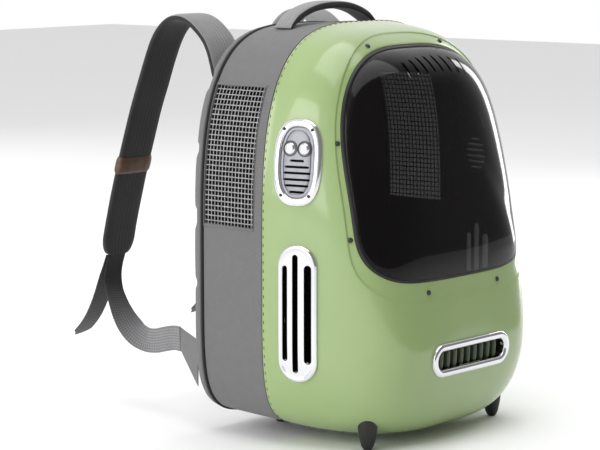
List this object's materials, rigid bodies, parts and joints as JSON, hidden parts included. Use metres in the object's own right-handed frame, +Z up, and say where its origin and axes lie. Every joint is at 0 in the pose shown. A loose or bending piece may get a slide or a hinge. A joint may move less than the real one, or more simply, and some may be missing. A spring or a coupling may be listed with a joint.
{
  "type": "bubble pet carrier backpack",
  "caption": "Backpack pet carrier with a moulded green front shell, a smoked bubble window, vents, a fabric gusset with net sides, a padded back and shoulder straps",
  "frame": {"origin": "on the floor, under the middle of the overall box, which includes the shoulder straps behind the bag", "axes": "+Z up, the window and the front of the bag face -Y, the wearer's side and the straps are at +Y, and X runs across the bag, which is symmetric about X = 0 but for the control plate"},
  "size_m": [0.3108, 0.4498, 0.4225],
  "materials": {
    "green_plastic": "pale green gloss moulding",
    "smoked_plastic": "dark smoked clear plastic",
    "rubber": "black satin",
    "dark_plastic": "dark green grey satin",
    "chrome": "bright plated plastic",
    "grey_plastic": "grey satin",
    "grey_cloth": "woven grey cloth",
    "dark_cloth": "dark grey woven webbing",
    "tan_leather": "brown tan, matt"
  },
  "bodies": {
    "bag": {"front_shell": "green_plastic", "dome_window": "smoked_plastic", "window_gasket": "rubber", "window_screw_left_1": "dark_plastic", "window_screw_left_2": "dark_plastic", "window_screw_left_3": "dark_plastic", "window_screw_left_4": "dark_plastic", "window_screw_right_1": "dark_plastic", "window_screw_right_2": "dark_plastic", "window_screw_right_3": "dark_plastic", "window_screw_right_4": "dark_plastic", "unit_bezel_left": "chrome", "unit_bezel_right": "chrome", "control_plate_left": "grey_plastic", "vent_plate_right": "grey_plastic", "side_vent_left": "chrome", "side_vent_right": "chrome", "grille_bezel": "chrome", "grille_louvres": "dark_plastic", "fabric_gusset": "grey_cloth", "side_net_left": "grey_cloth", "side_net_right": "grey_cloth", "piping": "dark_cloth", "back_panel": "grey_cloth", "top_handle": "grey_cloth", "shoulder_strap_left": "grey_cloth", "shoulder_strap_right": "grey_cloth", "strap_band_left": "tan_leather", "strap_band_right": "tan_leather", "webbing_left": "dark_cloth", "webbing_right": "dark_cloth", "webbing_tail_left": "dark_cloth", "webbing_tail_right": "dark_cloth", "lower_tab_left": "grey_cloth", "lower_tab_right": "grey_cloth", "front_foot_left": "rubber", "front_foot_right": "rubber", "rear_stud_left": "rubber", "rear_stud_right": "rubber"},
    "button_rear": {"push_button_rear": "chrome"},
    "button_front": {"push_button_front": "chrome"}
  },
  "joints": [
    {"name": "button_rear_press", "type": "slide", "parent": "bag", "child": "button_rear", "axis": [0.9738, 0.2, -0.108], "range_m": [0, 0.0015], "stiffness_N_per_m": 400},
    {"name": "button_front_press", "type": "slide", "parent": "bag", "child": "button_front", "axis": [0.9738, 0.2, -0.108], "range_m": [0, 0.0015], "stiffness_N_per_m": 400}
  ]
}
